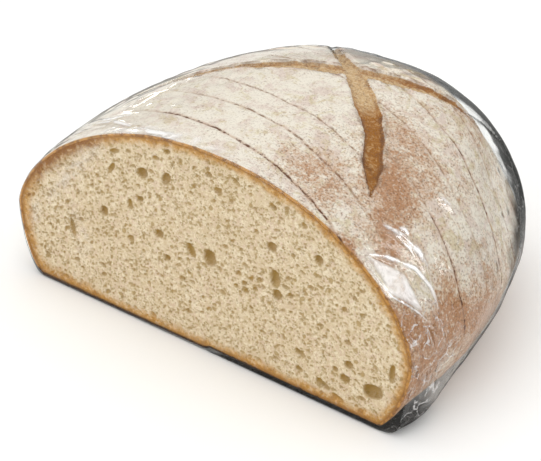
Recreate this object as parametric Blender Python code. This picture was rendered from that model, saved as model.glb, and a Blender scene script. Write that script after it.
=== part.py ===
"""Half of a long country loaf, sliced through and shut tight in clear film.

The film hugs the bread all over, so the pack is one closed solid of its outer form: a dome on a flat
underside, cut off square at the front, with the scored cross and the slice cuts sunk into its crust.
Metres, +Z up. The cut end faces -Y, and the origin is at the middle of the underside's box.
"""
import math

import bmesh
import bpy
from mathutils import Matrix, Vector

# Plan: half an oval whose straight side is the cut end
HALF_WIDTH = 0.090
DEPTH = 0.1494
PLAN_SQUARENESS = 2.36
PLAN_WAVES = (0.014, 0.045, -0.015)

# Height: the widest level, and the dome that rises from it and grows a little towards the back
WIDEST_LEVEL = 0.0305
WIDEST_LEVEL_BACK_GAIN = 0.13
DOME_RISE = 0.0552
DOME_BACK_GAIN = 0.352
DOME_BACK_REACH = 0.100
DOME_SHOULDER = 0.963
DOME_CROWN = 1.244
CROWN_SHIFT = 0.0023

# Underside: how far the film draws in below the widest level, as a share of the plan radius
TUCK_LEFT = 0.137
TUCK_RIGHT = 0.132
TUCK_BACK = 0.200
SKIRT_CORNER = 1.3

# Bunched film at the lower front right corner
GATHER_REACH = 0.0044
GATHER_ANGLE = math.radians(8)
GATHER_SPREAD = math.radians(12)
GATHER_LEVEL = 0.003
GATHER_HEIGHT = 0.010

# Scored cross on the crown: each arm's plan line, its greatest width and its depth
CROSS_ARMS = (
    (
        ((-0.064, 0.037), (-0.042, 0.054), (-0.020, 0.0675), (0.005, 0.079), (0.034, 0.093), (0.060, 0.112)),
        0.0090,
        0.0017,
    ),
    (
        ((-0.034, 0.124), (-0.013, 0.100), (0.004, 0.083), (0.022, 0.0655), (0.038, 0.047), (0.0525, 0.025)),
        0.0105,
        0.0020,
    ),
)
CROSS_POINTS = 25
CROSS_TAPER = 0.12

# Slice cuts: upright, turned a little from the cut end and bowed; each starts this far back on the middle
CUT_STARTS = (0.0150, 0.0326, 0.0467, 0.0592, 0.0760, 0.0912, 0.1064, 0.1216)
CUT_TURN = 0.168
CUT_BOW = 1.27
CUT_RADIUS = 0.0006
CUT_OVERRUN = 0.002
CUT_POINTS = 28
CUT_SKIRT_POINTS = 5

# Mesh fineness
ROUND_SEGMENTS = 68
RING_SEGMENTS = 34
POLE_SHIFT = 0.4
MERGE = 0.00002
TUBE_ROUNDNESS = 2

CRUST_COLOUR = (0.66, 0.52, 0.43, 1.0)
NAME = "film_wrapped_half_loaf"


def plan_radius(angle):
    """Distance of the widest level's outline from the middle of the cut end's foot."""
    across = abs(math.cos(angle)) / HALF_WIDTH
    back = abs(math.sin(angle)) / DEPTH
    oval = (across**PLAN_SQUARENESS + back**PLAN_SQUARENESS) ** (-1 / PLAN_SQUARENESS)
    waves = sum(size * math.sin(turns * abs(angle)) for turns, size in enumerate(PLAN_WAVES, start=2))
    return oval * (1 + waves)


def widest_level(back):
    return WIDEST_LEVEL * (1 + WIDEST_LEVEL_BACK_GAIN * abs(back) / DEPTH)


def dome_rise(back):
    return DOME_RISE * (1 + DOME_BACK_GAIN * (back / DOME_BACK_REACH) ** 2)


def dome_point(angle, lift):
    """Point on the dome; lift runs from 0 at the widest level to pi/2 at the crown."""
    reach = plan_radius(angle) * max(math.cos(lift), 0) ** DOME_SHOULDER
    x, y = reach * math.cos(angle), reach * math.sin(angle)
    height = widest_level(y) + dome_rise(y) * math.sin(lift) ** DOME_CROWN
    return Vector((x + CROWN_SHIFT * math.sin(lift), y, height))


def gather(angle, height):
    """How far the bunched film stands out at this heading and height."""
    turn = math.exp(-(((angle - GATHER_ANGLE) / GATHER_SPREAD) ** 2))
    level = math.exp(-(((height - GATHER_LEVEL) / GATHER_HEIGHT) ** 2))
    return GATHER_REACH * turn * level


def skirt_point(angle, drop):
    """Point below the widest level; drop runs from 0 there to 1 at the underside's edge."""
    side = TUCK_RIGHT if math.cos(angle) > 0 else TUCK_LEFT
    tuck = TUCK_BACK + (side - TUCK_BACK) * math.cos(angle) ** 2
    turn = drop * math.pi / 2
    height = widest_level(plan_radius(angle) * math.sin(angle)) * (1 - math.sin(turn) ** SKIRT_CORNER)
    reach = plan_radius(angle) * (1 - tuck * (1 - math.cos(turn))) + gather(angle, height)
    return Vector((reach * math.cos(angle), reach * math.sin(angle), height))


def height_at(x, y):
    """Height of the dome above a point of the plan; the crown's shift takes a few rounds to undo."""
    lift = 1.0
    for _ in range(12):
        inner = x - CROWN_SHIFT * math.sin(lift)
        share = min(math.hypot(inner, y) / plan_radius(math.atan2(y, inner)), 1)
        lift = math.acos(share ** (1 / DOME_SHOULDER))
    return widest_level(y) + dome_rise(y) * math.sin(lift) ** DOME_CROWN


def normal_at(x, y):
    step = 0.001
    slope_x = (height_at(x + step, y) - height_at(x - step, y)) / (2 * step)
    slope_y = (height_at(x, y + step) - height_at(x, y - step)) / (2 * step)
    return Vector((-slope_x, -slope_y, 1)).normalized()


def collection(name):
    made = bpy.data.collections.new(name)
    bpy.context.scene.collection.children.link(made)
    return made


def add_object(name, data, home):
    made = bpy.data.objects.new(name, data)
    home.objects.link(made)
    return made


def make_cutter(cutter):
    cutter.hide_render = True
    cutter.display_type = "WIRE"
    return cutter


def make_loaf(home):
    """The whole dome, from a sphere whose vertices are moved out to the loaf's form."""
    mesh = bpy.data.meshes.new(NAME)
    bm = bmesh.new()
    bmesh.ops.create_uvsphere(bm, u_segments=ROUND_SEGMENTS, v_segments=RING_SEGMENTS, radius=1)
    bmesh.ops.rotate(bm, verts=bm.verts, matrix=Matrix.Rotation(math.pi / ROUND_SEGMENTS, 3, "Z"))
    last_ring = 1 - 2 / RING_SEGMENTS
    for vert in bm.verts:
        latitude = math.asin(max(-1, min(1, vert.co.z)))
        drop = -latitude / (math.pi / 2) / last_ring
        if latitude >= -1e-6:
            across, back = vert.co.x, vert.co.y
            back += POLE_SHIFT * (1 - across**2 - back**2)
            lift = math.acos(min(math.hypot(across, back), 1))
            vert.co = dome_point(math.atan2(back, across), lift)
        elif drop <= 1 + 1e-4:
            vert.co = skirt_point(math.atan2(vert.co.y, vert.co.x), min(drop, 1))
        else:
            vert.co = Vector((0, DEPTH / 3, 0))
    bm.to_mesh(mesh)
    bm.free()
    return add_object(NAME, mesh, home)


def make_front_cutter(home):
    """A block that takes away all in front of the cut end."""
    mesh = bpy.data.meshes.new("front_cutter")
    bm = bmesh.new()
    bmesh.ops.create_cube(bm, size=1)
    side = 4 * DEPTH
    bmesh.ops.scale(bm, verts=bm.verts, vec=(side, side, side))
    bmesh.ops.translate(bm, verts=bm.verts, vec=(0, -side / 2, 0))
    bm.to_mesh(mesh)
    bm.free()
    return make_cutter(add_object("front_cutter", mesh, home))


def make_tube(name, points, radii, roundness, home):
    """A closed tube along the points, as a mesh, because a curve can't cut."""
    curve = bpy.data.curves.new(name, "CURVE")
    curve.dimensions = "3D"
    curve.bevel_depth = 1.0
    curve.bevel_resolution = roundness
    curve.use_fill_caps = True
    spline = curve.splines.new("POLY")
    spline.points.add(len(points) - 1)
    for point, place, radius in zip(spline.points, points, radii):
        point.co = (*place, 1)
        point.radius = radius
    guide = add_object(name + "_guide", curve, home)
    bpy.context.view_layer.update()
    evaluated = guide.evaluated_get(bpy.context.evaluated_depsgraph_get())
    mesh = bpy.data.meshes.new_from_object(evaluated)
    bm = bmesh.new()
    bm.from_mesh(mesh)
    bmesh.ops.remove_doubles(bm, verts=bm.verts, dist=1e-6)
    bmesh.ops.recalc_face_normals(bm, faces=bm.faces)
    bm.to_mesh(mesh)
    bm.free()
    tube = add_object(name, mesh, home)
    tube.matrix_world = guide.matrix_world
    bpy.data.objects.remove(guide)
    return make_cutter(tube)


def along_line(line, share):
    """Point at this share of a smooth curve through the given plan points."""
    place = share * (len(line) - 1)
    k = min(int(place), len(line) - 2)
    t = place - k
    before, start, end, after = (Vector(line[max(0, min(len(line) - 1, k + n))]) for n in (-1, 0, 1, 2))
    bend = (end - before) * 0.5, (after - start) * 0.5
    rise = t * t * (3 - 2 * t)
    return start * (1 - rise) + end * rise + bend[0] * t * (1 - t) ** 2 - bend[1] * t * t * (1 - t)


def make_cross_cutter(number, arm, home):
    """A fat tube that dips into the crown, deepest in the middle and rising out at both ends."""
    line, width, depth = arm
    radius = ((width / 2) ** 2 + depth**2) / (2 * depth)
    points, radii = [], []
    for i in range(CROSS_POINTS):
        share = i / (CROSS_POINTS - 1)
        taper = CROSS_TAPER + (1 - CROSS_TAPER) * math.sin(math.pi * share) ** 0.6
        x, y = along_line(line, share)
        surface = Vector((x, y, height_at(x, y)))
        points.append(surface + normal_at(x, y) * (radius - depth) * taper)
        radii.append(radius * taper)
    return make_tube(f"cross_cutter_{number}", points, radii, TUBE_ROUNDNESS, home)


def cut_line(x, start):
    return start - CUT_TURN * x - CUT_BOW * x**2


def meet_outline(start, side, scale):
    """Where a slice cut crosses the plan outline shrunk to this scale, on the left (-1) or right (+1)."""
    inner, outer = 0.0, side * HALF_WIDTH * 1.2
    for _ in range(40):
        middle = (inner + outer) / 2
        y = cut_line(middle, start)
        inside = y > -CUT_OVERRUN and math.hypot(middle, y) < scale(math.atan2(y, middle))
        if inside:
            inner = middle
        else:
            outer = middle
    return inner


def slice_cut_points(start):
    """The line of one slice cut over the crust, from the foot on the left to the foot on the right."""
    ends = [meet_outline(start, side, plan_radius) for side in (-1, 1)]
    middle, half = sum(ends) / 2, (ends[1] - ends[0]) / 2 * 0.9995
    over = []
    for i in range(CUT_POINTS):
        x = middle + half * math.sin(-math.pi / 2 + math.pi * i / (CUT_POINTS - 1))
        y = cut_line(x, start)
        over.append(Vector((x, y, height_at(x, y))))
    down = {}
    for side in (-1, 1):
        down[side] = []
        for i in range(1, CUT_SKIRT_POINTS + 1):
            drop = i / (CUT_SKIRT_POINTS + 1)
            reach = lambda angle, d=drop: skirt_point(angle, d).xy.length
            x = meet_outline(start, side, reach)
            y = cut_line(x, start)
            down[side].append(Vector((x, y, skirt_point(math.atan2(y, x), drop).z)))
    return down[-1][::-1] + over + down[1]


def make_slice_cutter(number, start, home):
    points = slice_cut_points(start)
    return make_tube(f"slice_cutter_{number}", points, [CUT_RADIUS] * len(points), 0, home)


def carve(loaf, cutter):
    """Cuts one cutter away from the loaf."""
    cut = loaf.modifiers.new(cutter.name, "BOOLEAN")
    cut.operation = "DIFFERENCE"
    cut.solver = "EXACT"
    cut.object = cutter


def bake_and_centre(loaf):
    """Applies the cuts, and moves the mesh so that its box stands on the origin."""
    bpy.context.view_layer.update()
    evaluated = loaf.evaluated_get(bpy.context.evaluated_depsgraph_get())
    mesh = bpy.data.meshes.new_from_object(evaluated)
    loaf.modifiers.clear()
    loaf.data = mesh
    bm = bmesh.new()
    bm.from_mesh(mesh)
    bmesh.ops.remove_doubles(bm, verts=bm.verts, dist=MERGE)
    spare = [vert for vert in bm.verts if len(vert.link_edges) == 2]
    bmesh.ops.dissolve_verts(bm, verts=spare)
    bmesh.ops.triangulate(bm, faces=bm.faces)
    low = [min(v.co[k] for v in bm.verts) for k in range(3)]
    high = [max(v.co[k] for v in bm.verts) for k in range(3)]
    shift = Vector((-(low[0] + high[0]) / 2, -(low[1] + high[1]) / 2, -low[2]))
    bmesh.ops.translate(bm, verts=bm.verts, vec=shift)
    bm.to_mesh(mesh)
    bm.free()
    mesh.shade_smooth()
    mesh.set_sharp_from_angle(angle=math.radians(40))


def make_crust_material():
    """Floury tan crust under clear film."""
    crust = bpy.data.materials.new("crust")
    crust.use_nodes = True
    shader = crust.node_tree.nodes["Principled BSDF"]
    shader.inputs["Base Color"].default_value = CRUST_COLOUR
    shader.inputs["Roughness"].default_value = 0.55
    shader.inputs["Metallic"].default_value = 0.0
    return crust


def build():
    for old in list(bpy.data.objects):
        bpy.data.objects.remove(old)
    parts = collection("half_loaf_in_film")
    cutters = collection("cutters")
    loaf = make_loaf(parts)
    loaf.data.materials.append(make_crust_material())
    carve(loaf, make_front_cutter(cutters))
    for number, arm in enumerate(CROSS_ARMS):
        carve(loaf, make_cross_cutter(number, arm, cutters))
    for number, start in enumerate(CUT_STARTS):
        carve(loaf, make_slice_cutter(number, start, cutters))
    bake_and_centre(loaf)


build()
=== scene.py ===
"""Looks of half a floured country loaf, sliced through and shut tight in clear film.

The bread is two pieces, the crust and the crumb of the cut end, and the film is a thin skin round both.
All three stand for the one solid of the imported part. Loaf places, in metres, have their origin at the
middle of the cut end's foot: X to the right of the cut end, Y into the loaf and Z up.
"""

import math

import bpy
import numpy as np
from mathutils import Matrix, Vector


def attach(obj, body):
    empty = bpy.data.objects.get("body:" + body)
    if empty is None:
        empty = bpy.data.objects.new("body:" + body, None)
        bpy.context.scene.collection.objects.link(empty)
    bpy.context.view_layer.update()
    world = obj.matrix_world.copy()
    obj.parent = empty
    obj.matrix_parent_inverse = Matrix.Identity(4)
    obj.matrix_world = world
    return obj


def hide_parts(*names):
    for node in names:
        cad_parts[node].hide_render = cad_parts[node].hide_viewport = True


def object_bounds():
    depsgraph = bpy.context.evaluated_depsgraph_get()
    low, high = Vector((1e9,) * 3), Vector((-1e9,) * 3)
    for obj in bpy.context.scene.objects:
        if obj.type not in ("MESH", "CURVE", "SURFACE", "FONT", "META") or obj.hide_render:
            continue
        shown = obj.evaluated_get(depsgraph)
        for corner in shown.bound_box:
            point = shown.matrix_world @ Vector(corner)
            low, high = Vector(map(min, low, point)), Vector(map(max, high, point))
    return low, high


bl_info = {
    "name": "Half loaf in clear film",
    "version": (1, 0, 0),
    "blender": (4, 5, 0),
    "location": "3D View > Sidebar > Half Loaf",
    "description": "Adds the crust, crumb and clear film of half a sliced loaf, and a pale studio",
    "category": "Add Mesh",
}

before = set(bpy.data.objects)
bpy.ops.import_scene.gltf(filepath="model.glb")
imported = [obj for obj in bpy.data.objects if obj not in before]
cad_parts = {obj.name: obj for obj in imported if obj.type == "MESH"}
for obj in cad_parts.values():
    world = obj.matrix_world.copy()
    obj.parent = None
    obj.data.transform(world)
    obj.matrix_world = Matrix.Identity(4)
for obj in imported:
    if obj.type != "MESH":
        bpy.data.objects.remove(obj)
CAD_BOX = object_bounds()
SOLID = "film_wrapped_half_loaf"
MM = 0.001

# The solid's own form
HALF_WIDTH = 0.090
DEPTH = 0.1494
PLAN_SQUARENESS = 2.36
PLAN_WAVES = (0.014, 0.045, -0.015)
WIDEST_LEVEL = 0.0305
WIDEST_LEVEL_BACK_GAIN = 0.13
DOME_RISE = 0.0552
DOME_BACK_GAIN = 0.352
DOME_BACK_REACH = 0.100
DOME_SHOULDER = 0.963
DOME_CROWN = 1.244
CROWN_SHIFT = 0.0023
SKIRT_CORNER = 1.3

# Middle of the cut end's foot in the frame, which centres the solid's box
FOOT_ACROSS = 0.000537
FOOT = Vector((FOOT_ACROSS, CAD_BOX[0][1], 0))

# Where the skirt ends and the flat underside begins, as a latitude of the ball that the loaf is made from
SKIRT_LATITUDE = math.radians(30)

# Shares that the skirts of the bread and of the film draw in at the foot: left, right and rear
BREAD_TUCKS = (0.150, 0.150, 0.220)
FILM_TUCKS = (0.137, 0.132, 0.200)

# Slice cuts, as on the solid
CUT_STARTS = (0.0150, 0.0326, 0.0467, 0.0592, 0.0760, 0.0912, 0.1064, 0.1216)
CUT_TURN = 0.168
CUT_BOW = 1.27

# Scored cross: plan points along the solid's grooves
LEVEL_SCORE = (
    (-0.064, 0.038), (-0.042, 0.056), (-0.020, 0.0695), (0.005, 0.0808), (0.034, 0.0950), (0.060, 0.1135),
)
LONG_SCORE = (
    (-0.034, 0.124), (-0.013, 0.1005), (0.0065, 0.0825), (0.0235, 0.0662),
    (0.036, 0.0525), (0.0465, 0.036), (0.053, 0.026),
)


def paint(red, green, blue):
    """Linear colour from a paint chart's 0 to 255 values."""
    shares = (value / 255 for value in (red, green, blue))
    return tuple(share / 12.92 if share <= 0.04045 else ((share + 0.055) / 1.055) ** 2.4 for share in shares)


def colour(name, description, default):
    """A colour that the panel shows, with its default from a paint chart."""
    return bpy.props.FloatVectorProperty(
        name=name, description=description, subtype="COLOR", size=3, min=0, max=1, default=paint(*default)
    )


def length(name, description, default):
    """A length that the panel shows, in metres."""
    return bpy.props.FloatProperty(
        name=name, description=description, default=default, min=0, unit="LENGTH", precision=4
    )


class CrustLook(bpy.types.PropertyGroup):
    flour: colour("Flour", "Thick dusting on the crust", (235, 226, 211))
    rosy_flour: colour("Rosy flour", "Flour with a little of the crust's warmth", (214, 192, 180))
    ochre_flour: colour("Ochre flour", "Flour that has yellowed in the oven", (206, 190, 150))
    thin_flour: colour("Thin flour", "Crust that shows faintly through its flour", (211, 186, 162))
    bare: colour("Bare crust", "Crust where the flour has rubbed off", (180, 132, 94))
    baked: colour("Baked crust", "Specks of well baked crust", (118, 86, 60))
    score_pale: colour("Score, pale", "Scored cross near its middle", (208, 176, 130))
    score_brown: colour("Score, brown", "Scored cross towards its front end", (157, 98, 0))
    score_edge: colour("Score, edge", "Dark edges of the scored cross", (112, 66, 24))
    cut: colour("Slice cut", "Edges of the slice cuts", (108, 62, 30))
    underside: colour("Underside", "Dark baked underside", (70, 46, 28))
    rim: colour("Rim", "Browned edge of the crust round the cut end", (200, 142, 62))
    cut_depth: length("Slice cut depth", "Depth of the groove of a slice cut", 0.0005)
    score_depth: length("Score depth", "Depth of the scored cross", 0.0019)


class CrumbLook(bpy.types.PropertyGroup):
    crumb: colour("Crumb", "Body of the crumb", (221, 197, 158))
    rosy: colour("Rosy crumb", "Warmer strands of the crumb", (226, 196, 172))
    wall: colour("Crumb wall", "Light walls between the pores", (246, 230, 202))
    # Partly painted shade: the pores' colour is darker than the crumb where shade falls in them
    pore_shade: colour("Pore", "Inside of the pores", (168, 131, 50))
    rind: colour("Rind", "Golden band inside the crust", (210, 154, 62))
    rind_edge: colour("Rind edge", "Outermost, darkest line of the crust", (140, 84, 18))
    foot: colour("Rind foot", "Line where the cut end meets the dark underside", (84, 58, 36))
    rind_width: length("Rind width", "Width of the golden band", 0.0052)
    fine_pores: bpy.props.IntProperty(
        name="Fine pores", description="Number of fine pores", default=2500, min=0
    )


class FilmLook(bpy.types.PropertyGroup):
    tint: colour("Tint", "Colour of the clear film", (252, 253, 253))
    # Painted highlight: a white that stands in for the glints of light on the film's creases and folds
    glint: colour("Glint", "Sharp creases and loose folds that catch the light", (250, 248, 246))
    # Painted shade: a dark that stands in for the shade and dark reflections seen in the film where it stands
    # clear of the bread, and at its tucked corners
    shade: colour("Shade", "Where layers of film lie bunched, clear of the bread", (38, 38, 36))
    crease: length("Crease height", "Height of the pressed creases", 0.0008)
    score_bridge: length("Score bridge", "How far the film sinks into the scored cross", 0.0005)
    clearance: length("Clearance", "Gap between the film and the bread", 0.00045)


class StudioLook(bpy.types.PropertyGroup):
    floor: colour("Floor", "Pale floor", (253, 253, 252))
    sky: colour("Surroundings", "Light from all round", (252, 252, 251))
    distance: length("Camera distance", "From the camera to the loaf", 0.816)


# The loaf's form


def plan_radius(angle):
    """Reach of the widest outline at each heading from the middle of the cut end's foot."""
    across = np.abs(np.cos(angle)) / HALF_WIDTH
    back = np.abs(np.sin(angle)) / DEPTH
    oval = (across**PLAN_SQUARENESS + back**PLAN_SQUARENESS) ** (-1 / PLAN_SQUARENESS)
    waves = sum(size * np.sin(turns * np.abs(angle)) for turns, size in enumerate(PLAN_WAVES, start=2))
    return oval * (1 + waves)


def widest_level(back):
    """Height at which the loaf is widest, a little higher towards the rear."""
    return WIDEST_LEVEL * (1 + WIDEST_LEVEL_BACK_GAIN * np.abs(back) / DEPTH)


def step(low, high, value):
    """0 below low, 1 above high and smooth between."""
    t = np.clip((value - low) / (high - low), 0, 1)
    return t * t * (3 - 2 * t)


def hump(value, middle, reach):
    """1 at the middle, falling smoothly to nothing on both sides of it."""
    return np.exp(-(((value - middle) / reach) ** 2))


def patch_share(points, middle, reach):
    """1 at a place of the loaf in mm, falling smoothly to nothing all round it."""
    return np.exp(-(((points / MM - np.array(middle)) / np.array(reach)) ** 2).sum(-1))


def even_gap(gap):
    """An inset for loaf_points that is the same all over."""
    return lambda heading, latitude: np.full_like(heading, gap)


def loaf_points(ball, tucks, inset):
    """Moves points of the unit ball out to the loaf's form.

    tucks are the shares that the skirt draws in on the left, the right and at the back, and inset gives how
    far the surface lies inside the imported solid's, from each point's heading and its latitude on the ball.
    """
    x, y, z = ball[..., 0], np.maximum(ball[..., 1], 0), ball[..., 2]
    heading = np.arctan2(y, x)
    latitude = np.arcsin(np.clip(z, -1, 1))
    gap = inset(heading, latitude)
    lift = np.maximum(latitude, 0)
    flat = np.cos(lift)
    reach = plan_radius(heading) * flat**DOME_SHOULDER
    back = reach * np.sin(heading)
    rise = DOME_RISE * (1 + DOME_BACK_GAIN * (back / DOME_BACK_REACH) ** 2)
    height = widest_level(back) + rise * np.sin(lift) ** DOME_CROWN - gap * np.sin(lift)
    reach_in = reach - gap * flat
    dome = np.stack(
        [reach_in * np.cos(heading) + CROWN_SHIFT * np.sin(lift), reach_in * np.sin(heading), height], -1
    )
    left, right, rear = tucks
    side = np.where(np.cos(heading) > 0, right, left)
    tuck = rear + (side - rear) * np.cos(heading) ** 2
    turn = np.clip(-latitude / SKIRT_LATITUDE, 0, 1) * math.pi / 2
    level = widest_level(plan_radius(heading) * np.sin(heading)) * (1 - np.sin(turn) ** SKIRT_CORNER)
    reach = plan_radius(heading) * (1 - tuck * (1 - np.cos(turn))) - gap
    inner = np.where(latitude < -SKIRT_LATITUDE, np.cos(latitude) / math.cos(SKIRT_LATITUDE), 1)
    reach = reach * inner
    skirt = np.stack([reach * np.cos(heading), reach * np.sin(heading), np.maximum(level, gap)], -1)
    return np.where((latitude >= 0)[..., None], dome, skirt)


def even_steps(points, count, crowding=1.0):
    """Places along a line of points, as fractional indices, that cut it into equal lengths.

    With crowding above 1 the lengths are shorter near the line's start.
    """
    run = np.concatenate([[0], np.cumsum(np.linalg.norm(np.diff(points, axis=0), axis=1))])
    return np.interp(np.linspace(0, 1, count) ** crowding * run[-1], run, np.arange(len(points)))


def ball_grid(rings, dome_columns, skirt_columns, base_columns, crowding=1.0):
    """Rings of points on the back half of the unit ball, from the cut end's plane to the rear tip.

    Columns come out even on the loaf, and so do rings, but for any crowding towards the cut end.
    """
    fine = 721
    around = np.linspace(0, math.pi, fine)
    section = np.stack([np.cos(around), 0 * around, np.sin(around)], -1)
    section = loaf_points(section, BREAD_TUCKS, even_gap(0))
    dome = np.interp(even_steps(section, dome_columns), np.arange(fine), around)
    low, high = math.pi + SKIRT_LATITUDE, 2 * math.pi - SKIRT_LATITUDE
    left = np.linspace(math.pi, low, skirt_columns + 1)[1:]
    base = np.linspace(low, high, base_columns + 1)[1:]
    right = np.linspace(high, 2 * math.pi, skirt_columns + 1)[1:-1]
    around = np.concatenate([dome, left, base, right])
    along = np.linspace(math.pi / 2, 0, fine)
    crown = np.stack([0 * along, np.cos(along), np.sin(along)], -1)
    crown = loaf_points(crown, BREAD_TUCKS, even_gap(0))
    falls = np.interp(even_steps(crown, rings + 1, crowding), np.arange(fine), along)
    open_ring, turn = np.meshgrid(falls[:-1], around, indexing="ij")
    x = np.sin(open_ring) * np.cos(turn)
    z = np.sin(open_ring) * np.sin(turn)
    return np.stack([x, np.cos(open_ring), z], -1)


def grid_normals(points):
    """Outward directions of a grid that is closed across its columns."""
    across = np.roll(points, -1, 1) - np.roll(points, 1, 1)
    along = np.gradient(points, axis=0)
    normal = np.cross(across, along)
    size = np.linalg.norm(normal, axis=-1, keepdims=True)
    return -normal / np.maximum(size, 1e-12)


def lumps(points, wavelength, seed, waves=14):
    """Smooth waviness of about -1 to 1, as a sum of sine waves that run all ways."""
    pick = np.random.default_rng(seed)
    total = np.zeros(points.shape[:-1])
    for _ in range(waves):
        way = pick.normal(size=3)
        way *= 2 * math.pi / (wavelength * pick.uniform(0.7, 1.5) * np.linalg.norm(way))
        total += np.sin(points @ way + pick.uniform(0, 2 * math.pi))
    return total / math.sqrt(waves)


def smooth_line(line, count):
    """Evenly drawn curve through the given plan points."""
    line = np.array(line)
    ends = np.vstack([2 * line[0] - line[1], line, 2 * line[-1] - line[-2]])
    place = np.linspace(0, len(line) - 1, count)
    k = np.minimum(place.astype(int), len(line) - 2)
    t = (place - k)[:, None]
    p0, p1, p2, p3 = (ends[k + n] for n in range(4))
    bend = 2 * p0 - 5 * p1 + 4 * p2 - p3
    twist = 3 * p1 - p0 - 3 * p2 + p3
    return 0.5 * (2 * p1 + (p2 - p0) * t + bend * t**2 + twist * t**3)


def beside_line(plan, line, count=60):
    """Distance of plan points from a line, on its left or right by sign, and the share along it."""
    path = smooth_line(line, count)
    near = np.full(plan.shape[:-1], 1.0)
    side = np.zeros(plan.shape[:-1])
    share = np.zeros(plan.shape[:-1])
    for k in range(count - 1):
        run = path[k + 1] - path[k]
        off = plan - path[k]
        t = np.clip((off @ run) / (run @ run), 0, 1)
        rest = off - t[..., None] * run
        gap = np.linalg.norm(rest, axis=-1)
        closer = gap < near
        near = np.where(closer, gap, near)
        turn = run[0] * off[..., 1] - run[1] * off[..., 0]
        side = np.where(closer, np.sign(turn), side)
        share = np.where(closer, (k + t) / (count - 1), share)
    return near * side, share


def sheet_faces(rings, columns, closed):
    """Quads of a grid of rings by columns."""
    index = np.arange(rings * columns).reshape(rings, columns)
    if closed:
        index = np.concatenate([index, index[:, :1]], 1)
    quads = np.stack([index[:-1, :-1], index[:-1, 1:], index[1:, 1:], index[1:, :-1]], -1)
    return quads.reshape(-1, 4)


def make_mesh(name, points, quads, tips=()):
    """A smooth mesh from points and quads; tips are (ring of indices, index of the point it closes on)."""
    faces = quads.tolist()
    for ring, tip in tips:
        faces += [[int(a), int(b), int(tip)] for a, b in zip(ring, np.roll(ring, -1))]
    mesh = bpy.data.meshes.new(name)
    mesh.from_pydata((points + np.array(FOOT)).tolist(), [], faces)
    mesh.shade_smooth()
    mesh.validate()
    made = bpy.data.objects.new(name, mesh)
    bpy.context.scene.collection.objects.link(made)
    return made


def close_form(name, rings, hub=None):
    """A closed mesh from rings of points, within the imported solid's box.

    Its last ring closes on the ring's own middle, and its first ring on the hub, where there is one.
    """
    total, columns = rings.shape[:2]
    index = np.arange(total * columns).reshape(total, columns)
    points = np.concatenate([rings.reshape(-1, 3), rings[-1].mean(0)[None]])
    tips = [(index[-1][::-1], len(points) - 1)]
    if hub:
        points = np.vstack([points, hub])
        tips.append((index[0], len(points) - 1))
    low, high = (np.array(corner) - np.array(FOOT) for corner in CAD_BOX)
    return make_mesh(name, np.clip(points, low, high), sheet_faces(total, columns, True)[:, ::-1], tips)


def way_inward(ring, middle_height):
    """Ways from each point of a ring towards the middle of the cut end, along the cut end."""
    way = np.array([0, 0, middle_height]) - ring
    way[:, 1] = 0
    return way / np.linalg.norm(way, axis=1, keepdims=True)


def store(made, name, values):
    """Keeps one value for each point, for the materials to read."""
    field = made.data.attributes.new(name, "FLOAT", "POINT")
    field.data.foreach_set("value", np.asarray(values, dtype=np.float32).ravel())


def finish_piece(made, material):
    """Gives a piece its material, and its places in the frame."""
    made.data.materials.append(material)
    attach(made, "root")
    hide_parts(SOLID)


# Materials


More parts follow.
